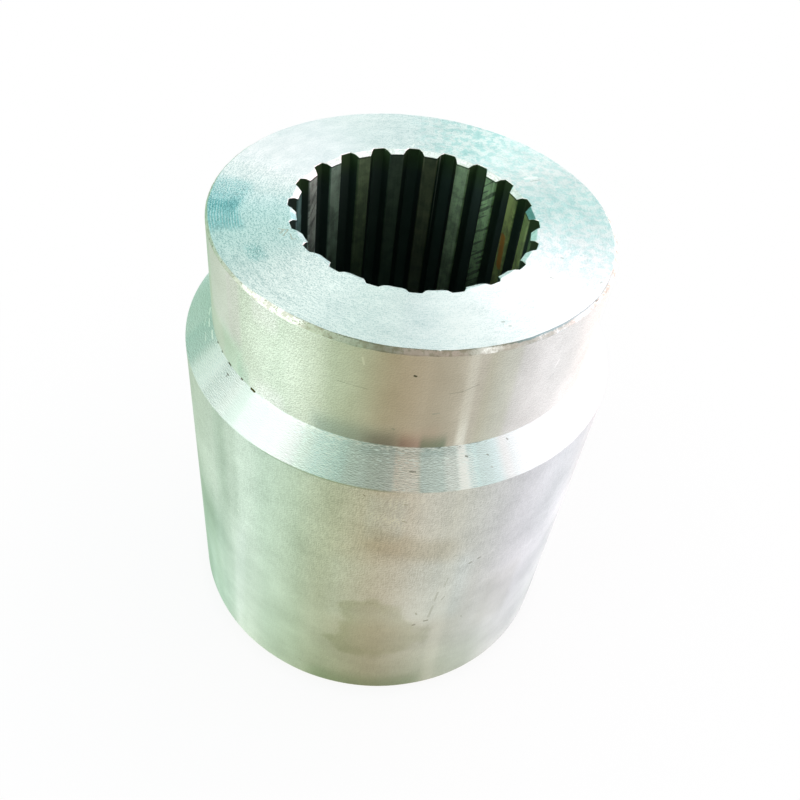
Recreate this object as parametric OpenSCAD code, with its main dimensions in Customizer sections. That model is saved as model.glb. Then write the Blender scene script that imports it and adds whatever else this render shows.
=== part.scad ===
/* [Outside] */

// Overall length along the axis, in mm
total_h = 120.5; // [100:0.5:150]
// Diameter of the plain neck at the top
neck_d = 90; // [84:0.5:98]
// Length of the neck, from its top face to the shoulder
neck_h = 26.3; // [12:0.1:40]
// Diameter of the large body
body_d = 103; // [100:0.5:125]
// Slope of the shoulder cone, in degrees from the level
shoulder_angle = 46; // [25:1:60]
// Chamfer on the outer rim of the top face
rim_chamfer = 1; // [0.3:0.1:3]
// Edge break on the outer rim of the bottom face
foot_chamfer = 0.5; // [0.2:0.1:2]

/* [Spline] */

// Number of grooves in the bore
groove_count = 20; // [16:1:26]
// Diameter over the groove bottoms
spline_major_d = 55.4; // [46:0.2:62]
// Depth of each groove below the crests
groove_depth = 1.9; // [1:0.1:2.2]
// Pressure angle of the involute flanks
pressure_angle = 30; // [25:1:35]
// Share of the circular pitch that a groove takes
groove_share = 0.75; // [0.66:0.01:0.8]

/* [Bore mouths] */

// Width of the mouth chamfer, out from the crests
mouth_chamfer_w = 1.3; // [0.5:0.1:1.8]
// Depth of the mouth chamfer along the axis
mouth_chamfer_h = 0.75; // [0.3:0.05:1.5]

/* [Hidden] */

$fn = 180;

neck_r = neck_d / 2;
body_r = body_d / 2;
major_r = spline_major_d / 2;
minor_r = major_r - groove_depth;
mouth_r = minor_r + mouth_chamfer_w;
neck_base_z = total_h - neck_h;
shoulder_rise = (body_r - neck_r) * tan(shoulder_angle);
shoulder_z = neck_base_z - shoulder_rise;

// The groove bottoms lie a fixed number of modules outside the pitch circle
major_allowance = 2.16;
spline_module = spline_major_d / (groove_count + major_allowance);
pitch_r = spline_module * groove_count / 2;
base_r = pitch_r * cos(pressure_angle);

// Steps along one flank, and how far the cutter's outline passes the metal
flank_steps = 8;
overcut = 0.2;

// Involute function in degrees, for a point at radius r
function flank_pressure(r) = acos(base_r / r);
function roll_angle(r) = tan(flank_pressure(r)) * 180 / PI - flank_pressure(r);

// Half the angle that a groove takes at radius r
function groove_half_angle(r) =
    groove_share * 180 / groove_count + roll_angle(pitch_r) - roll_angle(r);

function flank_radius(i) =
    minor_r - overcut + (groove_depth + 2 * overcut) * i / flank_steps;

function flank_point(i, side) =
    let (r = flank_radius(i), a = side * groove_half_angle(r))
    [r * cos(a), r * sin(a)];

// Outline of the space between two neighbouring teeth
module groove_outline() {
    polygon(concat(
        [for (i = [0 : flank_steps]) flank_point(i, -1)],
        [for (i = [flank_steps : -1 : 0]) flank_point(i, 1)]
    ));
}

// All grooves, with a round bottom that every one shares
module spline_grooves() {
    intersection() {
        translate([0, 0, -overcut])
            cylinder(r = major_r, h = total_h + 2 * overcut);
        for (i = [0 : groove_count - 1])
            rotate([0, 0, i * 360 / groove_count])
                translate([0, 0, -2 * overcut])
                    linear_extrude(height = total_h + 4 * overcut)
                        groove_outline();
    }
}

// Section of the turned blank, from the bore to the outside
module blank_section() {
    polygon([
        [mouth_r, 0],
        [body_r - foot_chamfer, 0],
        [body_r, foot_chamfer],
        [body_r, shoulder_z],
        [neck_r, neck_base_z],
        [neck_r, total_h - rim_chamfer],
        [neck_r - rim_chamfer, total_h],
        [mouth_r, total_h],
        [minor_r, total_h - mouth_chamfer_h],
        [minor_r, mouth_chamfer_h]
    ]);
}

module spline_sleeve() {
    color([0.79, 0.82, 0.80])
        difference() {
            rotate_extrude() blank_section();
            spline_grooves();
        }
}

spline_sleeve();
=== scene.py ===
import bpy
import math
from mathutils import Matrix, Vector, noise


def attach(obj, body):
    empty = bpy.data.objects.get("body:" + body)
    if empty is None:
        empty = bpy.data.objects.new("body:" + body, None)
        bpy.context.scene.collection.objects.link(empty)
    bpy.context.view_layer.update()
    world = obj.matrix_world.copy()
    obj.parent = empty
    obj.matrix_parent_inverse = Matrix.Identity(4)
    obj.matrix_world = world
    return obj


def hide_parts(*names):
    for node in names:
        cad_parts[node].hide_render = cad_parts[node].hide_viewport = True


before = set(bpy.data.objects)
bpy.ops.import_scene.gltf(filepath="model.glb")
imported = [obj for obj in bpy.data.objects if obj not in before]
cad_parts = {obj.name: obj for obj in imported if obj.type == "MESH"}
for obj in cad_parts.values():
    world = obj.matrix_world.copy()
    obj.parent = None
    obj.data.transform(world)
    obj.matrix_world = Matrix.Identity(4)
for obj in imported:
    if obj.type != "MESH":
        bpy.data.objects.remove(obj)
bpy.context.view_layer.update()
scene = bpy.context.scene
scene.view_settings.view_transform = "Standard"
mm = 0.001
print("frame loaded")


class Wire:
    # one output socket, so that shader maths reads as plain sums
    def __init__(self, graph, socket):
        self.graph = graph
        self.socket = socket

    def maths(self, operation, first, second=0.0):
        return self.graph.add("ShaderNodeMath", {"operation": operation}, {0: first, 1: second})

    def __add__(self, other):
        return self.maths("ADD", self, other)

    def __radd__(self, other):
        return self.maths("ADD", other, self)

    def __sub__(self, other):
        return self.maths("SUBTRACT", self, other)

    def __rsub__(self, other):
        return self.maths("SUBTRACT", other, self)

    def __mul__(self, other):
        return self.maths("MULTIPLY", self, other)

    def __rmul__(self, other):
        return self.maths("MULTIPLY", other, self)

    def __truediv__(self, other):
        return self.maths("DIVIDE", self, other)

    def __rtruediv__(self, other):
        return self.maths("DIVIDE", other, self)

    def __pow__(self, other):
        return self.maths("POWER", self, other)

    def __rpow__(self, other):
        return self.maths("POWER", other, self)

    def __abs__(self):
        return self.maths("ABSOLUTE", self)

    def __gt__(self, other):
        return self.maths("GREATER_THAN", self, other)

    def __lt__(self, other):
        # also what a number > socket comes to
        return self.maths("LESS_THAN", self, other)

    def atMost(self, other):
        return self.maths("MINIMUM", self, other)

    def atLeast(self, other):
        return self.maths("MAXIMUM", self, other)

    def rise(self, low, high):
        # 0 below low, 1 above high, smooth between; it falls instead where low is the larger
        return self.graph.add("ShaderNodeMapRange", {"interpolation_type": "SMOOTHSTEP"},
                              {0: self, 1: low, 2: high, 3: 0.0, 4: 1.0})


class Graph:
    # adds the nodes of one material or world
    def __init__(self, tree):
        self.tree = tree
        tree.nodes.clear()

    def add(self, kind, settings=None, sockets=None, out=0):
        node = self.tree.nodes.new(kind)
        for key, value in (settings or {}).items():
            if key == "stops":
                ramp = node.color_ramp
                while len(ramp.elements) < len(value):
                    ramp.elements.new(1.0)
                for element, (place, colour) in zip(ramp.elements, value):
                    element.position = place
                    element.color = colour
            else:
                setattr(node, key, value)
        for key, value in (sockets or {}).items():
            if isinstance(value, Wire):
                self.tree.links.new(value.socket, node.inputs[key])
            else:
                node.inputs[key].default_value = value
        return Wire(self, node.outputs[out]) if len(node.outputs) > 0 else node

    def join(self, x, y, z):
        return self.add("ShaderNodeCombineXYZ", {}, {0: x, 1: y, 2: z})

    def split(self, vector):
        outputs = self.add("ShaderNodeSeparateXYZ", {}, {0: vector}).socket.node.outputs
        return [Wire(self, output) for output in outputs]

    def turn(self, x, y):
        # the angle round the axis from +X, in radians
        return self.add("ShaderNodeMath", {"operation": "ARCTAN2"}, {0: y, 1: x})

    def mix(self, factor, first, second, blend="MIX"):
        # inputs 6 and 7 and output 2 are the node's colour sockets
        return self.add("ShaderNodeMix", {"data_type": "RGBA", "blend_type": blend},
                        {0: factor, 6: first, 7: second}, 2)

    def vector(self, operation, first, second, out="Vector"):
        return self.add("ShaderNodeVectorMath", {"operation": operation}, {0: first, 1: second}, out)

    def cloud(self, place, scale, detail=2.0, rough=0.5, seed=0.0):
        moved = self.vector("ADD", place, (seed, seed * 0.7, seed * 1.3))
        return self.add("ShaderNodeTexNoise", {"noise_dimensions": "3D"},
                        {"Vector": moved, "Scale": scale, "Detail": detail, "Roughness": rough})


def rgb(red, green, blue):
    return (red, green, blue, 1.0)


# the sleeve's own sizes in mm, as in the solids; the small breaks and waves are only here
sleeve = dict(
    length=120.5, neckRadius=45.0, neckLength=26.3, bodyRadius=51.5, shoulderAngle=46.0,
    # how wide the hand-filed rim is at degrees from +X
    rimWidths=[(-180, 0.50), (-139, 0.50), (-129, 1.08), (-118, 1.14), (-112, 0.97), (-60, 0.90),
               (-20, 0.80), (60, 0.70), (180, 0.50)],
    rimWander=0.10, rimSlope=0.95, footChamfer=0.5, footWander=0.1,
    grooves=20, majorRadius=27.7, grooveDepth=1.9, pressureAngle=30.0, grooveShare=0.75,
    majorAllowance=2.16, mouthWidth=1.3, mouthDepth=0.75, mouthWander=0.1,
    grooveBreak=0.12, cornerRound=0.09, cornerSupport=0.16, toothRound=0.06,
    # the largest share of a short edge that a corner's rounding and its support may take
    roundShare=0.3, supportShare=0.45,
    # columns along a groove's bottom, from its middle, and along a land, from its start
    rootColumns=(-1.0, -0.9, -0.35, 0.35, 0.9, 1.0), crestColumns=(0.0, 0.06, 0.35, 0.65, 0.94, 1.0),
)
crestRadius = sleeve["majorRadius"] - sleeve["grooveDepth"]
top = sleeve["length"]
neckLine = top - sleeve["neckLength"]
shoulderSlope = math.tan(math.radians(sleeve["shoulderAngle"]))
bodyLine = neckLine - (sleeve["bodyRadius"] - sleeve["neckRadius"]) * shoulderSlope


def sectionLoop():
    # the bore's outline once round: radius and angle of each column
    s = sleeve
    pitchRadius = s["majorRadius"] * s["grooves"] / (s["grooves"] + s["majorAllowance"])
    baseRadius = pitchRadius * math.cos(math.radians(s["pressureAngle"]))
    low = crestRadius
    high = s["majorRadius"]
    ease = s["toothRound"]

    def roll(radius):
        # the involute function at this radius
        angle = math.acos(baseRadius / radius)
        return math.tan(angle) - angle

    def half(radius):
        # half the groove's angle at this radius
        return s["grooveShare"] * math.pi / s["grooves"] + roll(pitchRadius) - roll(radius)

    step = 2 * math.pi / s["grooves"]
    span = high - low
    rootTurn = ease / high
    crestTurn = ease / low
    rootEdge = half(high)
    crestEdge = half(low)
    rootIn = 0.35  # where the middle column of a corner's rounding lies, as shares of its size
    rootAlong = 0.25
    crestShift = 0.3
    flankEnd = 0.12  # flank columns next to the roundings, as a share of the depth
    pitch = [(high, part * (rootEdge - rootTurn)) for part in s["rootColumns"]]
    pitch.append((high - rootIn * ease, rootEdge - rootAlong * rootTurn))
    flank = [high - ease, high - flankEnd * span, high - 0.5 * span, low + flankEnd * span, low + ease]
    pitch += [(radius, half(radius)) for radius in flank]
    pitch.append((low + crestShift * ease, crestEdge + crestShift * crestTurn))
    start = crestEdge + crestTurn
    stop = step - crestEdge - crestTurn
    pitch += [(low, start + part * (stop - start)) for part in s["crestColumns"]]
    pitch.append((low + crestShift * ease, step - crestEdge - crestShift * crestTurn))
    pitch += [(radius, step - half(radius)) for radius in reversed(flank)]
    pitch.append((high - rootIn * ease, step - rootEdge + rootAlong * rootTurn))
    return [(radius, angle + k * step) for k in range(s["grooves"]) for radius, angle in pitch]


def wander(angle, speed, seed):
    # a slow closed wave round the part with a finer one on it, about -1 to 1
    at = Vector((math.cos(angle) * speed, math.sin(angle) * speed, seed))
    return noise.noise(at) * 1.6 + noise.noise(at * 3.1) * 0.5


def rimWidth(angle):
    degrees = (math.degrees(angle) + 180.0) % 360.0 - 180.0
    widths = sleeve["rimWidths"]
    for (start, first), (stop, last) in zip(widths, widths[1:]):
        if degrees <= stop:
            part = (degrees - start) / (stop - start)
            return first + (last - first) * part * part * (3.0 - 2.0 * part)
    return widths[-1][1]


def sectionColumn(radius, angle):
    # corners of one radial section, from the bore's top round to the bore's bottom
    s = sleeve
    rim = rimWidth(angle) + s["rimWander"] * wander(angle, speed=6.0, seed=1.7)
    ragged = wander(angle, speed=6.0, seed=9.2) + wander(angle, speed=26.0, seed=5.3)
    rimDrop = rimWidth(angle) * s["rimSlope"] + s["rimWander"] * ragged
    foot = s["footChamfer"] + s["footWander"] * wander(angle, speed=4.0, seed=4.4)
    ends = []
    for seed in (3.1, 7.9):
        wide = s["mouthWidth"] + s["mouthWander"] * wander(angle, speed=5.0, seed=seed)
        mouth = crestRadius + wide
        drop = s["mouthDepth"] * max(0.0, mouth - radius) / wide
        ends.append((max(mouth, radius + s["grooveBreak"]), max(drop, s["grooveBreak"])))
    (topMouth, topDrop), (lowMouth, lowDrop) = ends
    return [
        (radius, top - topDrop), (topMouth, top),
        (s["neckRadius"] - rim, top), (s["neckRadius"], top - rimDrop),
        (s["neckRadius"], neckLine), (s["bodyRadius"], bodyLine),
        (s["bodyRadius"], foot), (s["bodyRadius"] - foot, 0.0),
        (lowMouth, 0.0), (radius, lowDrop),
    ]


# finish and rows between the corners, in the order of sectionColumn's edges
edgeFinish = ["edge", "face", "rim", "neck", "cone", "body", "edge", "face", "edge", "bore"]
edgeRows = [0, 8, 0, 6, 3, 12, 0, 8, 0, 8]


def roundedColumn(corners):
    # each corner becomes five rows, with even rows along the edges between
    rows = []
    count = len(corners)
    reach = sleeve["cornerRound"] + sleeve["cornerSupport"]
    for k in range(count):
        before = Vector(corners[k - 1])
        here = Vector(corners[k])
        after = Vector(corners[(k + 1) % count])
        inward = before - here
        outward = after - here
        near = [min(sleeve["cornerRound"], sleeve["roundShare"] * way.length) for way in (inward, outward)]
        far = [min(reach, sleeve["supportShare"] * way.length) for way in (inward, outward)]
        a = here + inward.normalized() * near[0]
        b = here + outward.normalized() * near[1]
        start = here + outward.normalized() * far[1]
        rows += [here + inward.normalized() * far[0], a, here * 0.5 + (a + b) * 0.25, b, start]
        stop = after - outward.normalized() * far[1]
        for j in range(edgeRows[k]):
            rows.append(start.lerp(stop, (j + 1) / (edgeRows[k] + 1)))
    return rows


def makeSleeve(finishes):
    loop = sectionLoop()
    columns = [roundedColumn(sectionColumn(radius, angle)) for radius, angle in loop]
    rowCount = len(columns[0])
    points = []
    for (radius, angle), rows in zip(loop, columns):
        for row in rows:
            points.append((row[0] * math.cos(angle) * mm, row[0] * math.sin(angle) * mm, row[1] * mm))
    rowFinish = []
    for k, name in enumerate(edgeFinish):
        previous = edgeFinish[k - 1]
        rowFinish += [previous, previous, name, name] + [name] * (edgeRows[k] + 1)
    quads = []
    slots = []
    names = list(finishes)
    for i in range(len(loop)):
        j = (i + 1) % len(loop)
        for k in range(rowCount):
            n = (k + 1) % rowCount
            quads.append((i * rowCount + k, i * rowCount + n, j * rowCount + n, j * rowCount + k))
            slots.append(names.index(rowFinish[k]))
    mesh = bpy.data.meshes.new("splineSleeve")
    mesh.from_pydata(points, [], quads)
    for name in names:
        mesh.materials.append(finishes[name])
    mesh.polygons.foreach_set("material_index", slots)
    mesh.polygons.foreach_set("use_smooth", [True] * len(quads))
    mesh.update()
    piece = bpy.data.objects.new("splineSleeve", mesh)
    scene.collection.objects.link(piece)
    print("sleeve:", len(loop), "columns,", rowCount, "rows,", 2 * len(quads), "triangles")
    return piece


# how each finish looks; sizes in mm, tones from dark to light, shares of each texture
plainLook = dict(roughSpread=0.10, ring=0.0, drag=0.0, stretch=0.5, span=(0.36, 0.64),
                 paintedRelief=0.0, paintedWormRelief=0.0, upright=0.0)
steelLooks = {
    "face": dict(plainLook, run="face", dark=rgb(0.50, 0.60, 0.61), light=rgb(1.00, 1.00, 1.00),
                 rough=0.56, grainSize=0.30, grain=0.60, wormLength=0.8, wormWidth=0.32, worm=0.34,
                 ringSize=0.58, ring=0.03, patchSize=8.0, patch=0.35, drag=0.5, bump=0.022,
                 stretch=0.9, span=(0.34, 0.60)),
    "rim": dict(plainLook, run="rim", dark=rgb(0.50, 0.48, 0.42), light=rgb(1.00, 1.00, 0.97),
                rough=0.45, grainSize=0.40, grain=0.45, wormLength=2.0, wormWidth=0.30, worm=0.35,
                ringSize=0.9, patchSize=3.0, patch=2.4, drag=0.5, bump=0.060, stretch=0.6),
    "neck": dict(plainLook, run="side", dark=rgb(0.56, 0.56, 0.53), light=rgb(0.90, 0.91, 0.88),
                 rough=0.58, roughSpread=0.08, grainSize=0.36, grain=0.70, wormLength=1.4,
                 wormWidth=0.26, worm=0.12, ringSize=0.60, patchSize=9.0, patch=0.66, drag=0.15,
                 bump=0.040, stretch=0.9, paintedRelief=0.15, upright=0.09),
    "cone": dict(plainLook, run="side", dark=rgb(0.51, 0.55, 0.54), light=rgb(0.96, 1.00, 1.00),
                 rough=0.45, grainSize=0.20, grain=0.14, wormLength=0.60, wormWidth=0.075, worm=0.80,
                 ringSize=0.42, ring=0.05, patchSize=12.0, patch=0.15, drag=0.15, bump=0.030,
                 stretch=0.9, span=(0.41, 0.61), paintedWormRelief=1.15),
    "body": dict(plainLook, run="side", dark=rgb(0.49, 0.51, 0.51), light=rgb(0.81, 0.83, 0.83),
                 rough=0.54, roughSpread=0.08, grainSize=0.34, grain=0.50, wormLength=1.2,
                 wormWidth=0.26, worm=0.14, ringSize=0.60, patchSize=15.0, patch=1.1, drag=0.2,
                 bump=0.022, stretch=0.9, span=(0.35, 0.65), paintedRelief=0.15, upright=0.20),
    "edge": dict(plainLook, run="side", dark=rgb(0.70, 0.72, 0.70), light=rgb(1.00, 1.00, 1.00),
                 rough=0.45, grainSize=0.5, grain=0.35, wormLength=3.0, wormWidth=0.3, worm=0.25,
                 ringSize=0.6, patchSize=6.0, patch=0.9, bump=0.012),
    "bore": dict(plainLook, run="bore", dark=rgb(0.062, 0.098, 0.086), light=rgb(1.0, 1.0, 1.0),
                 rough=0.45, grainSize=0.4, grain=0.30, wormLength=9.0, wormWidth=0.30, worm=0.50,
                 ringSize=0.8, patchSize=4.0, patch=0.9, bump=0.020),
}

# how strongly the fine texture shows round the part; degrees from +X, then strength
textureShare = {
    "face": [(-180, 1.45), (-163, 1.35), (-150, 1.15), (-125, 0.90), (-105, 0.62), (-85, 0.50),
             (20, 0.45), (60, 0.40), (78, 0.75), (100, 0.70), (120, 0.25), (150, 0.25), (163, 0.90),
             (180, 1.45)],
    "neck": [(-180, 0.35), (-147, 0.30), (-138, 1.02), (-119, 0.98), (-108, 0.55), (-100, 0.34),
             (-84, 0.30), (-76, 0.45), (-40, 0.50), (180, 0.35)],
    "cone": [(-180, 0.90), (-156, 0.95), (-143, 0.95), (-136, 0.30), (-122, 0.30), (-112, 1.00),
             (-76, 0.90), (-66, 0.45), (-55, 0.30), (180, 0.90)],
    "body": [(-180, 0.60), (-140, 0.60), (-120, 0.65), (-100, 1.00), (-72, 0.90), (-55, 0.45),
             (180, 0.60)],
}

# painted highlights, where the fine texture is made lighter as a whole: middle, half width and softness in
# degrees, how wavy the edge is, at which height, and by how much
textureHighlights = {
    "face": [(-60.0, 15.0, 20.0, 0.0, None, 0.32)],
    "cone": [(-61.0, 3.0, 4.0, 0.0, None, 0.10), (-74.2, 0.5, 1.4, 0.0, None, 0.40)],
    "body": [(-86.0, 16.0, 6.0, 0.0, ("near", 48.0, 9.0, 9.0), 0.16)],
}

# the painted reflection on each land between the grooves, its brightness and tint; degrees from and to,
# then tone
landReflections = [(-180, -180, rgb(0.24, 0.40, 0.42)), (-60, -1, rgb(0.27, 0.44, 0.22)),
             (0, 18, rgb(0.80, 1.00, 0.46)), (20, 35, rgb(0.74, 0.92, 0.38)),
             (37, 53, rgb(0.66, 1.00, 0.58)), (55, 71, rgb(0.66, 0.88, 0.58)),
             (73, 73, rgb(0.27, 0.30, 0.19)), (89, 89, rgb(0.25, 0.28, 0.18)),
             (91, 107, rgb(0.16, 0.23, 0.17)), (109, 125, rgb(0.32, 0.44, 0.25)),
             (127, 143, rgb(0.50, 0.70, 0.56)), (145, 161, rgb(0.87, 1.00, 0.92)),
             (163, 180, rgb(0.22, 0.42, 0.40))]
landReflectionStops = [(turn, tone) for start, stop, tone in landReflections for turn in sorted({start, stop})]

# painted light and shade, lighter and darker places round the part: middle, half width and softness in
# degrees, how wavy the edge is, at which height in mm, and the colour that it multiplies by
sectorLightAndShade = {
    "face": [
        (8.0, 26.0, 12.0, (1.08, 1.02, 1.02)),
        (168.0, 5.0, 7.0, (0.94, 0.95, 0.94)),
        (-123.0, 8.0, 6.0, 0.3, (0.96, 0.97, 0.97)),
        (-102.0, 6.0, 6.0, 0.3, (1.03, 1.03, 1.02)),
        (-78.0, 8.0, 6.0, (0.975, 0.975, 0.975)),
    ],
    "neck": [
        (-67.0, 3.0, 3.0, (0.95, 0.96, 0.90)),
        (-139.5, 1.8, 2.0, 0.0, ("below", 96.0, 102.0), (0.82, 0.88, 0.86)),
        (-130.0, 3.0, 3.0, 0.0, ("above", 112.0, 117.0), (1.10, 1.05, 1.11)),
        (-153.0, 5.0, 5.0, 0.0, ("above", 100.0, 106.0), (1.14, 1.07, 1.16)),
        (-143.0, 1.5, 3.0, 0.2, ("above", 100.0, 105.0), (1.05, 0.98, 1.05)),
        (-117.0, 3.0, 5.0, 0.3, (1.09, 1.07, 1.09)),
        (-84.0, 11.0, 8.0, (0.95, 0.90, 0.87)),
        (-145.0, 3.5, 4.0, 0.2, ("below", 101.0, 107.0), (0.93, 1.00, 0.97)),
        (-128.5, 2.5, 4.0, 0.3, ("below", 96.0, 101.0), (1.16, 1.10, 1.18)),
    ],
    "cone": [
        (-164.0, 3.0, 4.0, (0.85, 0.92, 0.91)),
        (-152.5, 2.0, 4.0, 0.1, (1.38, 1.34, 1.38)),
        (-136.3, 1.0, 2.0, (0.91, 0.94, 0.93)),
        (-147.0, 3.5, 3.0, (1.03, 1.05, 1.06)),
        (-122.0, 4.0, 2.0, (1.04, 1.00, 1.02)),
        (-119.0, 2.5, 2.0, (1.04, 0.98, 1.02)),
        (-108.0, 2.0, 4.0, (1.00, 1.12, 1.17)),
        (-99.0, 4.0, 4.0, (0.91, 0.95, 0.95)),
        (-88.2, 2.6, 1.2, (1.11, 1.00, 0.95)),
        (-82.3, 2.4, 2.0, (0.85, 0.92, 0.92)),
        (-71.9, 0.8, 1.5, (1.06, 1.14, 1.18)),
        (-67.5, 2.0, 3.0, (0.94, 1.05, 1.07)),
        (-94.5, 2.0, 3.0, (0.91, 0.90, 0.88)),
        (-57.0, 3.0, 2.0, (0.96, 1.00, 1.00)),
    ],
    "body": [
        (-86.0, 16.0, 6.0, 0.0, ("near", 48.0, 9.0, 9.0), (1.00, 1.04, 1.08)),
        (-92.0, 3.0, 3.0, 0.0, ("near", 78.0, 5.0, 5.0), (1.02, 1.07, 1.12)),
        (-154.0, 4.0, 5.0, 0.3, ("near", 38.0, 5.0, 9.0), (0.90, 0.92, 0.89)),
        (-137.0, 2.5, 3.0, 0.2, ("above", 42.0, 62.0), (0.85, 0.87, 0.85)),
        (-142.0, 10.0, 6.0, 0.0, ("below", 18.0, 40.0), (1.13, 1.10, 1.12)),
        (-54.0, 4.0, 4.0, 0.0, ("near", 36.0, 8.0, 8.0), (0.91, 0.91, 0.89)),
        (-92.0, 13.0, 9.0, 0.0, ("below", 1.5, 10.0), (0.69, 0.77, 0.68)),
        (-82.0, 22.0, 12.0, 0.0, ("below", 6.0, 28.0), (0.86, 0.89, 0.85)),
        (-119.0, 4.0, 6.0, 0.3, (0.92, 0.95, 0.93)),
        (-140.5, 1.5, 3.0, 0.2, (0.88, 0.91, 0.89)),
        (-147.0, 1.5, 3.0, 0.0, ("below", 22.0, 36.0), (0.95, 0.955, 0.94)),
        (-124.0, 3.0, 3.0, 0.0, ("near", 58.0, 4.0, 7.0), (0.955, 0.96, 0.955)),
    ],
}

markTones = dict(white=rgb(0.98, 0.98, 0.96), dark=rgb(0.12, 0.13, 0.09), rust=rgb(0.85, 0.42, 0.10),
                 tan=rgb(0.60, 0.42, 0.30), grey=rgb(0.42, 0.45, 0.42), brown=rgb(0.055, 0.048, 0.010))

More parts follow.
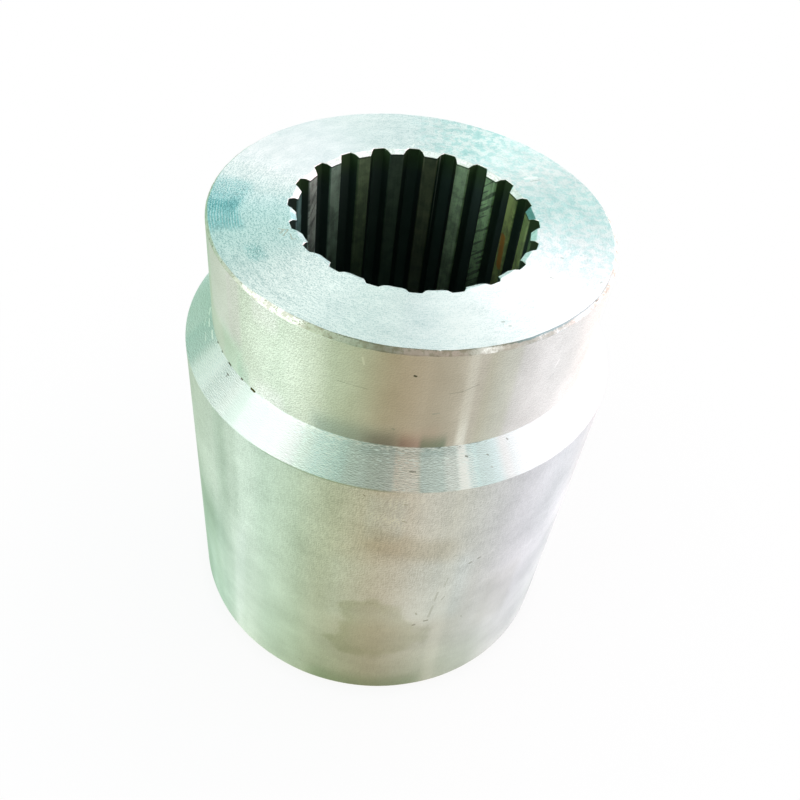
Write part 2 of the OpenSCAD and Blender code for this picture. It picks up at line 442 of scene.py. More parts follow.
# nicks, specks and scratches: tone, strength, width, then the two ends as radius, degrees, height
marks = {
    "face": [
        ("white", 1.0, 0.55, (28.3, 91.0, 120.5), (29.7, 90.2, 120.5)),
        ("white", 1.0, 0.95, (32.2, 35.2, 120.5), (35.0, 34.0, 120.5)),
        ("grey", 0.6, 0.30, (32.6, 32.6, 120.5), (35.0, 32.0, 120.5)),
        ("grey", 0.8, 0.40, (33.3, -21.0, 120.5), (33.7, -21.0, 120.5)),
        ("grey", 0.7, 0.40, (33.9, -34.5, 120.5), (34.3, -34.2, 120.5)),
        ("grey", 0.6, 0.40, (43.0, -27.0, 120.5), (43.2, -26.5, 120.5)),
        ("grey", 0.8, 0.40, (38.3, -64.3, 120.5), (38.4, -63.6, 120.5)),
        ("grey", 0.7, 0.35, (39.8, -63.2, 120.5), (39.9, -62.7, 120.5)),
        ("tan", 0.5, 0.30, (30.4, -160.2, 120.5), (28.6, -158.8, 120.5)),
        ("tan", 0.5, 0.30, (28.6, -158.8, 120.5), (30.2, -155.2, 120.5)),
        ("tan", 0.5, 0.30, (28.6, -155.5, 120.5), (28.9, -152.2, 120.5)),
        ("tan", 0.4, 0.30, (28.9, -152.2, 120.5), (28.1, -151.6, 120.5)),
        ("tan", 0.35, 0.7, (30.4, -157.4, 120.5), (29.7, -158.8, 120.5)),
    ],
    "rim": [
        ("white", 1.0, 0.42, (44.0, -84.4, 120.45), (44.1, -84.1, 120.35)),
        ("dark", 0.8, 0.55, (44.4, -34.8, 120.15), (44.5, -33.4, 120.00)),
        ("grey", 0.8, 0.50, (44.6, -38.6, 119.95), (44.7, -37.6, 119.80)),
    ],
    "neck": [
        ("dark", 1.0, 0.50, (45.0, -89.5, 114.5), (45.0, -89.1, 114.4)),
        ("dark", 0.35, 0.22, (45.0, -108.0, 109.6), (45.0, -100.6, 109.4)),
        ("dark", 0.30, 0.25, (45.0, -80.3, 109.8), (45.0, -77.0, 110.1)),
        ("dark", 0.30, 0.25, (45.0, -77.0, 110.1), (45.0, -73.0, 111.7)),
        ("white", 0.5, 0.50, (45.0, -102.3, 117.2), (45.0, -101.8, 115.6)),
        ("grey", 0.6, 0.50, (45.0, -93.0, 99.4), (45.0, -92.6, 99.2)),
        ("grey", 0.5, 0.40, (45.0, -83.4, 104.2), (45.0, -81.8, 104.4)),
        ("white", 0.5, 0.50, (45.0, -48.6, 109.6), (45.0, -47.8, 110.9)),
        ("grey", 0.4, 0.30, (45.0, -49.6, 106.6), (45.0, -48.4, 107.2)),
        ("grey", 0.5, 0.40, (45.0, -129.0, 103.0), (45.0, -127.0, 102.9)),
        ("grey", 0.5, 0.40, (45.0, -127.5, 95.6), (45.0, -126.7, 95.5)),
    ],
    "cone": [
        ("brown", 0.8, 0.26, (46.3, -145.6, 92.9), (46.3, -144.5, 92.9)),
        ("brown", 0.8, 0.22, (46.4, -145.1, 92.8), (46.8, -145.1, 92.4)),
        ("white", 1.0, 0.55, (45.4, -172.4, 93.8), (45.6, -170.0, 93.6)),
        ("white", 1.0, 0.50, (45.7, -168.0, 93.5), (45.9, -165.0, 93.3)),
        ("white", 1.0, 0.55, (45.5, -162.5, 93.7), (45.8, -159.6, 93.4)),
        ("white", 0.8, 0.30, (46.4, -170.0, 92.8), (46.9, -167.0, 92.2)),
        ("white", 0.8, 0.30, (46.8, -164.0, 92.3), (47.2, -161.0, 91.9)),
        ("white", 0.7, 0.25, (49.6, -88.4, 89.4), (49.6, -85.6, 89.4)),
        ("dark", 0.8, 0.30, (48.5, -87.6, 90.6), (48.5, -86.2, 90.6)),
        ("dark", 0.7, 0.45, (46.7, -73.2, 92.4), (46.8, -72.8, 92.3)),
        ("dark", 0.6, 0.35, (47.1, -67.4, 92.0), (47.2, -67.1, 91.9)),
        ("dark", 0.6, 0.35, (45.7, -60.9, 93.5), (45.9, -60.6, 93.3)),
        ("grey", 0.6, 0.30, (49.0, -66.9, 90.0), (49.1, -66.5, 89.9)),
    ],
    "body": [
        ("dark", 0.6, 0.35, (51.5, -97.8, 85.3), (51.5, -97.5, 85.1)),
        ("grey", 0.6, 0.35, (51.5, -88.1, 83.4), (51.5, -87.3, 83.4)),
        ("grey", 0.6, 0.35, (51.5, -88.0, 77.6), (51.5, -87.0, 77.3)),
        ("white", 0.7, 0.35, (51.5, -133.8, 58.6), (51.5, -133.4, 58.3)),
        ("dark", 0.5, 0.65, (51.5, -80.0, 33.4), (51.5, -79.6, 33.6)),
        ("dark", 0.5, 0.65, (51.5, -77.0, 34.8), (51.5, -76.1, 34.9)),
        ("grey", 0.6, 0.50, (51.5, -79.9, 39.2), (51.5, -79.6, 38.4)),
        ("grey", 0.4, 0.65, (51.5, -76.0, 36.5), (51.5, -75.4, 41.5)),
        ("grey", 0.4, 0.65, (51.5, -75.3, 44.0), (51.5, -74.9, 47.6)),
        ("grey", 0.5, 0.40, (51.5, -73.3, 43.8), (51.5, -72.6, 45.2)),
        ("grey", 0.4, 0.40, (51.5, -73.4, 49.6), (51.5, -72.9, 53.4)),
        ("dark", 0.4, 0.75, (51.5, -67.6, 57.7), (51.5, -67.2, 58.0)),
        ("dark", 0.4, 0.75, (51.5, -65.2, 58.7), (51.5, -64.8, 58.9)),
        ("grey", 0.5, 0.35, (51.5, -72.8, 62.5), (51.5, -72.2, 62.6)),
        ("grey", 0.5, 0.50, (51.5, -65.5, 32.8), (51.5, -65.2, 32.0)),
        ("grey", 0.5, 0.70, (51.5, -112.1, 6.8), (51.5, -111.5, 6.3)),
        ("grey", 0.2, 0.45, (51.5, -87.0, 49.5), (51.5, -69.0, 49.2)),
    ],
    "bore": [
        ("rust", 0.9, 2.20, (25.8, 28.0, 108.0), (25.8, 26.5, 100.0)),
    ],
}

# small dark burrs on the line where the neck meets the cone
cornerSpots = [
    ("brown", 1.0, 0.58, (45.1, -135.6, 94.15), (45.1, -134.2, 94.1)),
    ("brown", 0.9, 0.46, (45.1, -140.4, 94.2), (45.1, -139.8, 94.2)),
    ("brown", 0.9, 0.42, (45.1, -147.6, 94.2), (45.1, -146.4, 94.2)),
    ("brown", 0.8, 0.36, (45.1, -152.8, 94.2), (45.1, -152.2, 94.2)),
    ("brown", 0.8, 0.40, (45.1, -156.9, 94.2), (45.1, -156.3, 94.2)),
]
marks["neck"] += cornerSpots
marks["cone"] += cornerSpots


def ringPoint(end):
    radius, degrees, height = end
    angle = math.radians(degrees)
    return Vector((radius * math.cos(angle), radius * math.sin(angle), height))


def markMask(graph, at, strength, width, first, second):
    # 1 inside a short stroke between two ends, with a ragged outline
    start = ringPoint(first)
    way = ringPoint(second) - start
    off = graph.vector("SUBTRACT", at.place, tuple(start))
    along = graph.vector("DOT_PRODUCT", off, tuple(way / max(way.length_squared, 1e-6)), "Value")
    along = along.atLeast(0.0).atMost(1.0)
    near = graph.add("ShaderNodeVectorMath", {"operation": "SCALE"}, {0: tuple(way), "Scale": along})
    gap = graph.vector("LENGTH", graph.vector("SUBTRACT", off, near), (0.0, 0.0, 0.0), "Value")
    ragged = gap + (at.grain - 0.5) * width * 0.4
    return (1.0 - ragged.rise(width * 0.25, width * 0.62)) * strength


def zone(value, middle, half, soft):
    # 1 within half of the middle, falling to 0 over soft
    return 1.0 - abs(value - middle).rise(half, half + soft)


def heightMask(z, kind, *limits):
    # near a height in mm, or above or below a soft limit
    if kind == "near":
        return zone(z, *limits)
    return z.rise(*limits) if kind == "above" else 1.0 - z.rise(*limits)


def sector(at, middle, half, soft, wave=0.0, height=None):
    # 1 over a part of the turn in degrees, at every height or at one
    turn = at.degrees + at.wobble * wave if wave else at.degrees
    mask = zone(turn, middle, half, soft)
    return mask * heightMask(at.z, *height) if height else mask


def byDegrees(graph, at, stops):
    # a number or colour that changes round the part
    stops = [((turn + 180) / 360, rgb(value, value, value) if isinstance(value, float) else value)
             for turn, value in stops]
    return graph.add("ShaderNodeValToRGB", {"stops": stops}, {0: at.degrees / 360 + 0.5})


# the middle radius in mm of each way that the steel was turned
runRadius = dict(face=36.0, rim=46.0, side=46.0)


class Surface:
    # what a finish is mixed from: places in mm, degrees from +X, and textures of several sizes
    def __init__(self, graph, look):
        origin = graph.add("ShaderNodeTexCoord", out="Object")
        self.place = graph.vector("MULTIPLY", origin, (1 / mm, 1 / mm, 1 / mm))
        self.x, self.y, self.z = graph.split(self.place)
        self.radius = (self.x * self.x + self.y * self.y) ** 0.5
        self.degrees = graph.turn(self.x, self.y) * (180 / math.pi)
        across = self.radius if look["run"] == "face" else self.z
        width = look["wormWidth"]
        if look["run"] == "bore":
            along = graph.join(self.x / width, self.y / width, self.z / look["wormLength"])
        else:
            turns = runRadius[look["run"]] / look["wormLength"]
            cosine = self.x / self.radius
            sine = self.y / self.radius
            along = graph.join(cosine * turns, sine * turns, across / width)
        self.grain = graph.cloud(self.place, 1.0 / look["grainSize"], rough=0.65, seed=31.0)
        if look["paintedRelief"] > 0:
            # painted shading: the grain lit from one side, as small pits are
            shifted = graph.vector("ADD", self.place, (look["paintedRelief"] * -0.6, 0.0, look["paintedRelief"]))
            beside = graph.cloud(shifted, 1.0 / look["grainSize"], rough=0.65, seed=31.0)
            self.grain = (self.grain - beside) * 0.9 + 0.5
        self.worm = graph.cloud(along, 0.8, rough=0.55, seed=3.0)
        # painted shading: the worm marks shaded as if lit from one side
        if look["paintedWormRelief"] > 0:
            shifted = graph.vector("ADD", along, (0.0, 0.0, 1.1))
            beside = graph.cloud(shifted, 0.8, rough=0.55, seed=3.0)
            self.worm = (self.worm - beside) * look["paintedWormRelief"] + 0.5
        self.broad = graph.cloud(along, 0.13, seed=11.0)
        self.patch = graph.cloud(self.place, 1.0 / look["patchSize"], detail=3.0, seed=23.0)
        self.wobble = (self.patch - 0.5) * 10.0  # makes edges wavy, by degrees or mm
        # the feed marks come and go, and drift a little
        drift = graph.cloud(self.place, 0.25, detail=1.0, seed=47.0)
        phase = (across + drift * 0.35) * (2 * math.pi / look["ringSize"])
        self.ring = (phase.maths("SINE", phase) * self.broad.rise(0.40, 0.62)) * 0.5 + 0.5

    def raggedZ(self, reach):
        # the height with the grain on it, so that a line across it comes out ragged
        return self.z + (self.grain - 0.5) * reach

    def inGroove(self):
        return self.radius.rise(crestRadius + 0.15, crestRadius + 0.5)


def steelTone(graph, at, name):
    # how light the bare steel is, 0 dark to 1 light, with some painted highlights in it, before the stains
    # and painted light and shade laid on after
    look = steelLooks[name]
    fine = at.grain * look["grain"] + at.worm * look["worm"] + at.ring * look["ring"]
    total = look["grain"] + look["worm"] + look["ring"] + look["upright"]
    if look["upright"] > 0:
        # short upright scratches
        upPlace = graph.join(at.x / 0.24, at.y / 0.24, at.z / 1.5)
        fine = fine + graph.cloud(upPlace, 0.8, detail=1.0, seed=7.0) * look["upright"]
    fine = (fine / total).rise(*look["span"]) - 0.5
    if name in textureShare:
        fine = fine * byDegrees(graph, at, textureShare[name])
    if name == "body":
        # the lower half is rubbed smoother
        fine = fine * (0.45 + at.z.rise(30.0, 62.0) * 0.55)
    # painted highlights: the fine texture made lighter in some sectors
    for *where, lift in textureHighlights.get(name, []):
        fine = fine + sector(at, *where) * lift
    tone = fine + (at.patch - 0.5) * look["patch"] + (at.broad - 0.5) * look["drag"] + 0.5
    return landTone(graph, at, tone) if name == "bore" else tone


def landTone(graph, at, tone):
    # dark in the grooves, painted light on the lands that grows towards the mouth, slanting cuts on two
    # lands, blotches, and a ragged darker line just under the mouth
    tone = (0.78 + tone * 0.28) * (1.0 - at.inGroove()) * (0.45 + at.z.rise(80.0, 116.0) * 0.55)
    slant = graph.join((at.z + at.degrees * 0.45) / 1.1, at.degrees * 0.09, 0.0)
    cut = graph.cloud(slant, 1.0, detail=1.0, seed=5.0).rise(0.52, 0.60)
    cutShare = sector(at, 45.0, 7.5, 0.5) * 0.60 + sector(at, 153.0, 7.5, 0.5) * 0.35
    tone = tone * (1.0 - cut * cutShare)
    blotch = graph.cloud(at.place, 0.30, detail=3.0, rough=0.6, seed=83.0).rise(0.38, 0.60)
    tone = tone * (0.72 + blotch * 0.40)
    mouthLine = zone(at.raggedZ(0.4), top - 0.9, 0.15, 0.25)
    return tone * (1.0 - mouthLine * 0.7)


def stainShadeAndLight(graph, colour, mask, tint):
    # a tint above 1 lightens; it lays on stains as well as painted light and shade
    return graph.mix(mask, colour, rgb(*tint), "MULTIPLY")


def paint(graph, colour, mask, share, tone):
    return graph.mix(mask * share, colour, tone)


def paintSectorLight(graph, at, colour, name):
    # painted light and shade, sector by sector
    for *where, tint in sectorLightAndShade[name]:
        colour = stainShadeAndLight(graph, colour, sector(at, *where), tint)
    return colour


def touchFace(graph, at, colour):
    # teal arcs and flecks on the left of the upper face, mottling on the right, and painted light and
    # shade by sector
    upper = at.z > top / 2
    wavyRadius = at.radius + at.wobble * 0.4
    arcs = zone(abs(at.degrees - 9.0) + at.wobble, 180.0, 4.5, 7.0) * wavyRadius.rise(36.5, 38.5) * upper
    flecks = zone(abs(at.degrees) + at.wobble, 178.0, 3.5, 7.0) * wavyRadius.rise(35.0, 38.0) * upper
    colour = stainShadeAndLight(graph, colour, flecks * (0.15 + at.grain.rise(0.56, 0.44) * 0.85), (0.42, 0.72, 0.74))
    colour = stainShadeAndLight(graph, colour, arcs * (0.25 + at.ring.rise(0.35, 0.60) * 0.75), (0.42, 0.70, 0.73))
    blotch = sector(at, -150.0, 2.0, 4.0, 0.5) * zone(at.radius + at.wobble * 0.3, 37.4, 0.8, 2.0)
    colour = stainShadeAndLight(graph, colour, blotch * at.grain.rise(0.62, 0.40), (0.52, 0.75, 0.76))
    mottle = graph.cloud(at.place, 0.50, detail=3.0, rough=0.6, seed=61.0).rise(0.44, 0.60)
    colour = stainShadeAndLight(graph, colour, mottle * sector(at, 25.0, 40.0, 20.0), (0.80, 0.93, 0.93))
    colour = stainShadeAndLight(graph, colour, mottle * sector(at, 73.0, 11.0, 9.0, 0.3), (0.83, 0.93, 0.93))
    return paintSectorLight(graph, at, colour, "face")


def touchNeck(graph, at, colour):
    # a blush and a faint dark stripe at the front, painted shade low at the front where the neck meets the
    # cone, painted light and shade by sector, and one painted reflection streak
    blush = sector(at, -86.0, 2.5, 5.0) * (1.0 - (at.z + at.wobble * 0.5).rise(96.0, 102.0))
    colour = paint(graph, colour, blush, 0.25, rgb(0.80, 0.55, 0.50))
    colour = paint(graph, colour, sector(at, -81.5, 2.0, 3.0, 0.3), 0.16, rgb(0.45, 0.43, 0.36))
    # painted shade low at the front, where the neck meets the cone
    low = 1.0 - at.raggedZ(1.5).rise(neckLine + 0.4, neckLine + 5.0)
    wide = 1.0 - at.raggedZ(1.5).rise(neckLine + 1.3, neckLine + 7.3)
    colour = stainShadeAndLight(graph, colour, sector(at, -103.0, 9.0, 5.0) * wide, (0.72, 0.77, 0.79))
    colour = stainShadeAndLight(graph, colour, sector(at, -94.0, 3.5, 5.0) * low, (0.79, 0.76, 0.75))
    colour = stainShadeAndLight(graph, colour, sector(at, -88.0, 2.0, 1.8) * low, (0.84, 0.78, 0.80))
    colour = stainShadeAndLight(graph, colour, sector(at, -82.0, 2.6, 1.6) * low, (0.55, 0.68, 0.62))
    colour = paintSectorLight(graph, at, colour, "neck")
    # painted reflection: one narrow bright upright streak
    paintedReflection = zone(at.degrees + (at.z - 107.0) * 0.02 + at.wobble * 0.06, -75.0, 0.4, 1.8)
    paintedReflection = paintedReflection * (0.95 - at.z.rise(96.0, 106.0) * 0.55) * (0.65 + at.grain.rise(0.40, 0.60) * 0.35)
    return graph.mix(paintedReflection, colour, rgb(1.00, 1.00, 0.98))


def touchCone(graph, at, colour):
    # painted shade under the neck, one painted reflection streak, painted sparkles as short bright dashes,
    # a ragged upper line, dark burrs, and painted light and shade by sector
    dashPlace = graph.vector("MULTIPLY", at.place, (0.95, 0.95, 7.5))
    dash = graph.cloud(dashPlace, 0.8, detail=1.0, seed=13.0)
    colour = paintSectorLight(graph, at, colour, "cone")
    # painted shade under the neck, in the corner
    paintedNeckShade = sector(at, -86.0, 12.0, 5.0) * at.raggedZ(0.8).rise(neckLine - 2.4, neckLine - 0.6)
    colour = stainShadeAndLight(graph, colour, paintedNeckShade, (0.84, 0.88, 0.88))
    # painted reflection: the same narrow bright streak as on the neck
    paintedReflection = sector(at, -74.2, 0.5, 1.4, 0.05) * (0.35 + at.worm.rise(0.36, 0.58) * 0.60)
    colour = graph.mix(paintedReflection, colour, rgb(1.00, 1.00, 1.00))
    # painted sparkles: short bright dashes
    paintedSparkles = dash.rise(0.61, 0.67) * sector(at, -96.0, 22.0, 8.0) * (0.45 + at.z.rise(90.0, 92.5) * 0.55)
    colour = paint(graph, colour, paintedSparkles, 0.85, rgb(0.90, 1.00, 1.00))
    edge = at.raggedZ(1.5)
    line = edge.rise(neckLine - 0.75, neckLine - 0.55) * dash.rise(0.48, 0.54)
    colour = paint(graph, colour, line * sector(at, -107.0, 22.0, 8.0), 0.6, markTones["white"])
    burrs = edge.rise(neckLine - 0.45, neckLine - 0.30) * dash.rise(0.44, 0.38)
    return paint(graph, colour, burrs * sector(at, -77.0, 7.0, 5.0), 0.5, markTones["dark"])


def touchBody(graph, at, colour):
    # a dark line under the cone, painted shade towards the bottom, painted highlights on a pale place and
    # a light stripe, a darker greener place low on the left, painted light and shade by sector, a painted
    # reflection streak, one damp stain and a darker slanting band
    corner = at.raggedZ(0.3).rise(bodyLine - 0.47, bodyLine - 0.32)
    corner = corner * (0.40 + at.grain.rise(0.38, 0.52) * 0.60)
    colour = stainShadeAndLight(graph, colour, corner * sector(at, -108.0, 14.0, 5.0), (0.66, 0.70, 0.64))
    # painted shade towards the bottom, painted light towards the top
    paintedHeightShade = graph.mix(at.z.rise(2.0, 52.0), rgb(0.94, 0.97, 0.95), rgb(1.03, 1.02, 1.03))
    colour = graph.mix(1.0, colour, paintedHeightShade, "MULTIPLY")
    # painted highlight: a pale place at the front, strongest high up
    paleHighlight = sector(at, -90.0, 7.0, 9.0, 0.4) * (0.35 + (at.z + at.wobble * 0.6).rise(66.0, 80.0) * 0.65)
    colour = stainShadeAndLight(graph, colour, paleHighlight * at.z.rise(20.0, 44.0), (1.15, 1.17, 1.22))
    green = sector(at, -152.0, 5.0, 9.0, 0.8) * (1.0 - (at.z + at.wobble).rise(38.0, 62.0))
    colour = stainShadeAndLight(graph, colour, green, (0.78, 0.86, 0.82))
    # painted highlight: a light slanting stripe low on the left
    paintedLightStripe = zone(at.degrees + (64.0 - at.z) * 0.088, -131.5, 0.8, 2.6) * (1.0 - at.z.rise(46.0, 62.0))
    colour = stainShadeAndLight(graph, colour, paintedLightStripe, (1.06, 1.04, 1.065))
    colour = paintSectorLight(graph, at, colour, "body")
    # painted reflection: the same narrow bright streak, faint
    paintedReflection = zone(at.degrees + (at.z - 60.0) * 0.03 + at.wobble * 0.1, -73.4, 0.5, 3.0)
    colour = paint(graph, colour, paintedReflection, 0.15, rgb(0.95, 0.94, 0.92))
    fromDamp = graph.join((at.degrees + 89.0) * 0.075, (at.z - 30.5) * 0.075, 0.0)
    away = graph.vector("LENGTH", fromDamp, (0.0, 0.0, 0.0), "Value") + (at.patch - 0.5) * 1.6
    colour = stainShadeAndLight(graph, colour, 1.0 - away.rise(0.84, 1.12), (0.87, 0.885, 0.83))
    tide = zone(away, 0.88, 0.05, 0.12) * sector(at, -100.0, 9.0, 6.0)
    colour = stainShadeAndLight(graph, colour, tide, (0.95, 0.96, 0.94))
    slope = at.z + (at.degrees + 86.0) * 0.25 + at.wobble * 0.25
    band = zone(slope, 68.0, 2.0, 4.5) * sector(at, -85.0, 8.0, 8.0)
    return stainShadeAndLight(graph, colour, band, (0.90, 0.88, 0.84))


def touchEdge(graph, at, colour):
    # two facets of the bore's mouth that mirror something dark
    mouthRadius = crestRadius + sleeve["mouthWidth"]
    mouth = 1.0 - at.radius.rise(mouthRadius + 0.1, mouthRadius + 0.3)
    colour = stainShadeAndLight(graph, colour, mouth * sector(at, 9.0, 4.6, 1.0), (0.20, 0.38, 0.38))
    return stainShadeAndLight(graph, colour, mouth * sector(at, -167.0, 4.6, 1.0), (0.66, 0.84, 0.86))


def touchRim(graph, at, colour):
    # dark, olive and ochre places, painted shade at the front, a painted shadow along the top edge, a
    # painted reflection line, and chips
    colour = paint(graph, colour, sector(at, -107.5, 9.0, 2.5, 0.3), 0.75, rgb(0.40, 0.44, 0.33))
    # painted shade: the front of the rim darker
    colour = paint(graph, colour, sector(at, -88.0, 10.0, 5.0, 0.4), 0.80, rgb(0.32, 0.29, 0.23))
    colour = paint(graph, colour, sector(at, -86.0, 5.0, 5.0), 0.35, rgb(0.62, 0.44, 0.40))
    spots = sector(at, -57.0, 10.0, 6.0) * (at.grain + at.broad).rise(1.0, 1.12)
    colour = paint(graph, colour, spots, 0.7, rgb(0.34, 0.32, 0.26))
    # painted shadow of a burr along the rim's top edge
    burrShadow = (at.raggedZ(0.5) + (at.broad - 0.5) * 0.5).rise(top - 0.18, top - 0.06)
    colour = paint(graph, colour, burrShadow * sector(at, -88.0, 28.0, 10.0), 0.8, rgb(0.14, 0.16, 0.12))
    colour = paint(graph, colour, sector(at, -158.0, 17.0, 5.0, 0.3), 0.62, rgb(0.56, 0.58, 0.46))
    olive = sector(at, -107.0, 11.0, 3.0) * (at.grain + at.worm * 0.6).rise(0.86, 0.92)
    colour = paint(graph, colour, olive, 0.4, rgb(0.24, 0.27, 0.17))
    blots = graph.cloud(at.place, 0.9, detail=4.0, rough=0.65, seed=71.0).rise(0.48, 0.60)
    colour = paint(graph, colour, blots * sector(at, -92.0, 22.0, 6.0), 0.60, rgb(0.24, 0.22, 0.15))
    # painted reflection: the same narrow bright streak as on the neck and cone
    colour = paint(graph, colour, sector(at, -73.5, 0.8, 2.0), 0.35, markTones["white"])
    colour = stainShadeAndLight(graph, colour, sector(at, -55.0, 6.0, 5.0), (0.78, 0.84, 0.85))
    outline = at.raggedZ(0.3).rise(top - 0.30, top - 0.16) * sector(at, -42.0, 18.0, 8.0)
    colour = paint(graph, colour, outline, 0.75, rgb(0.22, 0.34, 0.36))
    lip = (1.0 - at.raggedZ(0.4).rise(top - 0.82, top - 0.66)) * sector(at, -46.0, 14.0, 6.0)
    colour = paint(graph, colour, lip, 0.35, rgb(0.26, 0.36, 0.38))
    ground = (1.0 - at.raggedZ(0.7).rise(top - 1.10, top - 0.90)) * sector(at, -120.0, 6.0, 4.0, 0.3)
    colour = paint(graph, colour, ground, 0.3, rgb(0.62, 0.64, 0.52))
    chips = sector(at, -135.0, 24.0, 5.0) * (at.grain + (at.patch - 0.5) * 0.6).rise(0.60, 0.66)
    return paint(graph, colour, chips, 0.8, rgb(0.20, 0.21, 0.12))


def touchBore(graph, at, colour):
    # painted light: a green glow in the tops of the grooves near the mouth, and one thin painted glint
    grooveGlow = at.inGroove() * (at.z + at.wobble * 0.4).rise(113.0, 120.0) * sector(at, 70.0, 95.0, 15.0)
    colour = paint(graph, colour, grooveGlow, 0.5, rgb(0.10, 0.19, 0.045))
    glint = sector(at, 76.2, 0.10, 0.25) * at.z.rise(92.0, 112.0)
    return paint(graph, colour, glint, 0.4, rgb(0.80, 0.86, 0.80))


touches = dict(face=touchFace, rim=touchRim, neck=touchNeck, cone=touchCone, body=touchBody,
               edge=touchEdge, bore=touchBore)


def steel(name):
    look = steelLooks[name]
    material = bpy.data.materials.new(name + "Steel")
    material.use_nodes = True
    graph = Graph(material.node_tree)
    at = Surface(graph, look)
    # the bore's lands take their painted reflection tones round the turn
    light = byDegrees(graph, at, landReflectionStops) if name == "bore" else look["light"]
    colour = graph.mix(steelTone(graph, at, name), look["dark"], light)
    colour = touches[name](graph, at, colour)
    for tone, *stroke in marks.get(name, []):
        colour = graph.mix(markMask(graph, at, *stroke), colour, markTones[tone])
    spread = look["roughSpread"]
    rough = look["rough"] + (at.worm - 0.5) * spread + (at.patch - 0.5) * spread
    height = at.grain * 0.45 + at.worm * 0.40 + at.ring * 0.15
    bump = graph.add("ShaderNodeBump", {}, {
        "Strength": 1.0, "Distance": look["bump"] * mm, "Height": height})
    shader = graph.add("ShaderNodeBsdfPrincipled", {}, {
        "Base Color": colour, "Metallic": 1.0, "Roughness": rough, "Normal": bump,
        "Anisotropic": look["stretch"], "Anisotropic Rotation": 0.25})
    graph.add("ShaderNodeOutputMaterial", {}, {0: shader})
    return material


finishes = {name: steel(name) for name in steelLooks}
print("finishes:", ", ".join(finishes))
sleevePiece = makeSleeve(finishes)
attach(sleevePiece, "root")
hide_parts("spline_sleeve")
print("sleeve done")


# pale floor and plain soft light, in metres
studio = dict(
    floorSize=6.0, floorDrop=0.0002, floorColour=rgb(0.86, 0.87, 0.87), background=rgb(1.0, 1.0, 1.0),
    fillStrength=0.75, ceiling=rgb(1.00, 1.00, 0.90), ceilingStart=(0.55, 0.80),
    # the soft shade round the foot, and where the floor turns from lit paper to plain white
    shade=0.10, shadeReach=(0.07, 0.18), whiteReach=(0.030, 0.056),
    # what the steel mirrors round it, from the left side by way of the front and back to the left
    floorTones=[
        (0.000, rgb(0.66, 0.96, 0.57)), (0.083, rgb(0.66, 1.00, 0.64)), (0.167, rgb(0.92, 1.00, 0.53)),
        (0.250, rgb(0.97, 0.70, 0.35)), (0.333, rgb(1.00, 0.97, 0.75)), (0.417, rgb(0.69, 0.76, 0.78)),
        (0.500, rgb(0.56, 0.82, 0.83)), (0.583, rgb(0.62, 0.83, 0.82)), (0.667, rgb(0.78, 0.87, 0.84)),
        (0.750, rgb(0.84, 0.86, 0.79)), (0.833, rgb(0.84, 0.82, 0.65)), (0.917, rgb(0.73, 0.79, 0.47)),
        (1.000, rgb(0.66, 0.96, 0.57)),
    ],
    wallTones=[
        (0.000, rgb(1.00, 1.00, 1.00)), (0.083, rgb(0.55, 0.76, 0.66)), (0.167, rgb(0.14, 0.41, 0.26)),
        (0.250, rgb(0.00, 0.00, 0.00)), (0.333, rgb(0.77, 0.78, 0.72)), (0.417, rgb(1.00, 1.00, 1.00)),
        (0.500, rgb(0.88, 0.93, 0.93)), (0.583, rgb(0.71, 0.88, 0.87)), (0.667, rgb(0.64, 0.88, 0.86)),
        (0.750, rgb(0.56, 0.86, 0.85)), (0.833, rgb(0.10, 0.61, 0.40)), (0.917, rgb(0.74, 1.00, 0.92)),
        (1.000, rgb(1.00, 1.00, 1.00)),
    ],
)

lampAim = (0.0, 0.0, 0.06)
lamps = {
    "leftWindow": dict(place=(-0.727, -0.339, 0.469), size=(0.7, 0.5), power=2.15,
                       colour=(0.94, 1.00, 0.96)),
    "rightWindow": dict(place=(0.824, -0.131, 0.397), size=(0.7, 0.6), power=2.24,
                        colour=(1.00, 0.78, 0.89)),
    "farWindow": dict(place=(0.684, 0.479, 0.397), size=(0.7, 0.6), power=2.92,
                      colour=(1.00, 0.63, 0.64)),
    "backPanel": dict(place=(0.191, 0.712, 0.576), size=(0.4, 0.5), power=0.62,
                      colour=(0.72, 0.88, 1.00)),
    "topPanel": dict(place=(0.055, 0.055, 0.957), size=(0.8, 0.8), power=0.74,
                     colour=(0.35, 0.85, 1.00)),
}


def mirroredColour(graph, x, y, tones):
    share = graph.turn(x, y) / (2 * math.pi) + 0.5
    return graph.add("ShaderNodeValToRGB", {"stops": studio[tones]}, {0: share})


def seenRays(graph):
    # 1 for rays from the camera, and 1 for rays that the steel mirrors
    rays = graph.add("ShaderNodeLightPath").socket.node.outputs
    camera = Wire(graph, rays["Is Camera Ray"])
    mirrored = Wire(graph, rays["Is Glossy Ray"]) + Wire(graph, rays["Is Transmission Ray"])
    return camera, mirrored.atMost(1.0)


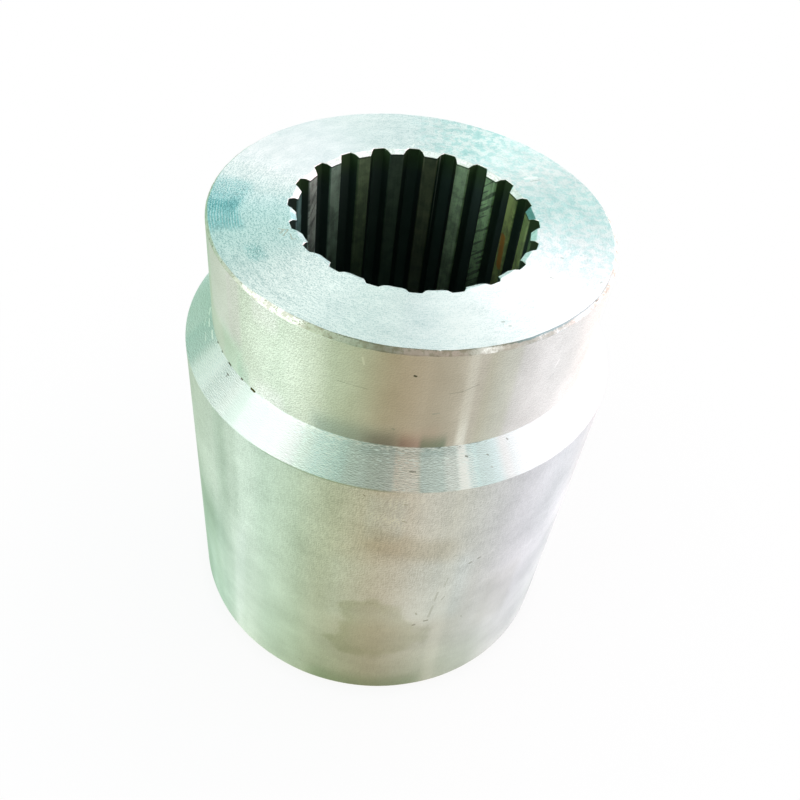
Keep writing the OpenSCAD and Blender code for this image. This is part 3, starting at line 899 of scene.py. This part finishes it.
def makeFloor():
    mesh = bpy.data.meshes.new("floor")
    half = studio["floorSize"] / 2
    corners = [(-half, -half, 0), (half, -half, 0), (half, half, 0), (-half, half, 0)]
    mesh.from_pydata(corners, [], [(0, 1, 2, 3)])
    floor = bpy.data.objects.new("floor", mesh)
    scene.collection.objects.link(floor)
    floor.location.z = -studio["floorDrop"]
    material = bpy.data.materials.new("paleFloor")
    material.use_nodes = True
    graph = Graph(material.node_tree)
    camera, mirrored = seenRays(graph)
    x, y = graph.split(graph.add("ShaderNodeTexCoord", out="Object"))[:2]
    away = (x * x + y * y) ** 0.5
    tone = graph.mix(mirrored, studio["background"], mirroredColour(graph, x, y, "floorTones"))
    paper = graph.add("ShaderNodeBsdfDiffuse", {}, {"Color": studio["floorColour"]})
    glow = graph.add("ShaderNodeEmission", {}, {"Color": tone, "Strength": 1.0})
    share = (camera + mirrored).atMost(1.0)
    share = share * (1.0 - studio["shade"] + away.rise(*studio["shadeReach"]) * studio["shade"])
    share = share * away.rise(*studio["whiteReach"])
    both = graph.add("ShaderNodeMixShader", {}, {0: share, 1: paper, 2: glow})
    graph.add("ShaderNodeOutputMaterial", {}, {0: both})
    mesh.materials.append(material)


def makeWorld():
    world = bpy.data.worlds.new("studio")
    scene.world = world
    world.use_nodes = True
    graph = Graph(world.node_tree)
    camera, mirrored = seenRays(graph)
    x, y, z = graph.split(graph.add("ShaderNodeTexCoord", out="Generated"))
    walls = mirroredColour(graph, x, y, "wallTones")
    room = graph.mix(z.rise(*studio["ceilingStart"]), walls, studio["ceiling"])
    tone = graph.mix(mirrored, studio["background"], room)
    fill = studio["fillStrength"]
    strength = fill + (camera + mirrored).atMost(1.0) * (1.0 - fill)
    back = graph.add("ShaderNodeBackground", {}, {"Color": tone, "Strength": strength})
    graph.add("ShaderNodeOutputWorld", {}, {0: back})


def makeLamps():
    for name, lamp in lamps.items():
        data = bpy.data.lights.new(name, "AREA")
        data.shape = "RECTANGLE"
        data.size, data.size_y = lamp["size"]
        data.energy = lamp["power"]
        data.color = lamp["colour"]
        thing = bpy.data.objects.new(name, data)
        scene.collection.objects.link(thing)
        thing.location = lamp["place"]
        aim = Vector(lampAim) - Vector(lamp["place"])
        thing.rotation_mode = "QUATERNION"
        thing.rotation_quaternion = aim.to_track_quat("-Z", "Y")


# the photographer's place, found from the picture's outlines; metres, degrees and mm of lens
viewpoint = dict(place=(-0.012392, -0.159400, 0.224769), turn=(44.2006, -5.6543, 0.4417),
                 lens=38.3234, sensor=36.0, nearest=0.01, farthest=20.0)


def makeCamera():
    data = bpy.data.cameras.new("camera")
    data.lens = viewpoint["lens"]
    data.sensor_width = viewpoint["sensor"]
    data.clip_start = viewpoint["nearest"]
    data.clip_end = viewpoint["farthest"]
    camera = bpy.data.objects.new("camera", data)
    scene.collection.objects.link(camera)
    camera.location = viewpoint["place"]
    camera.rotation_euler = [math.radians(angle) for angle in viewpoint["turn"]]
    scene.camera = camera


makeFloor()
makeWorld()
makeLamps()
makeCamera()
print("studio done")
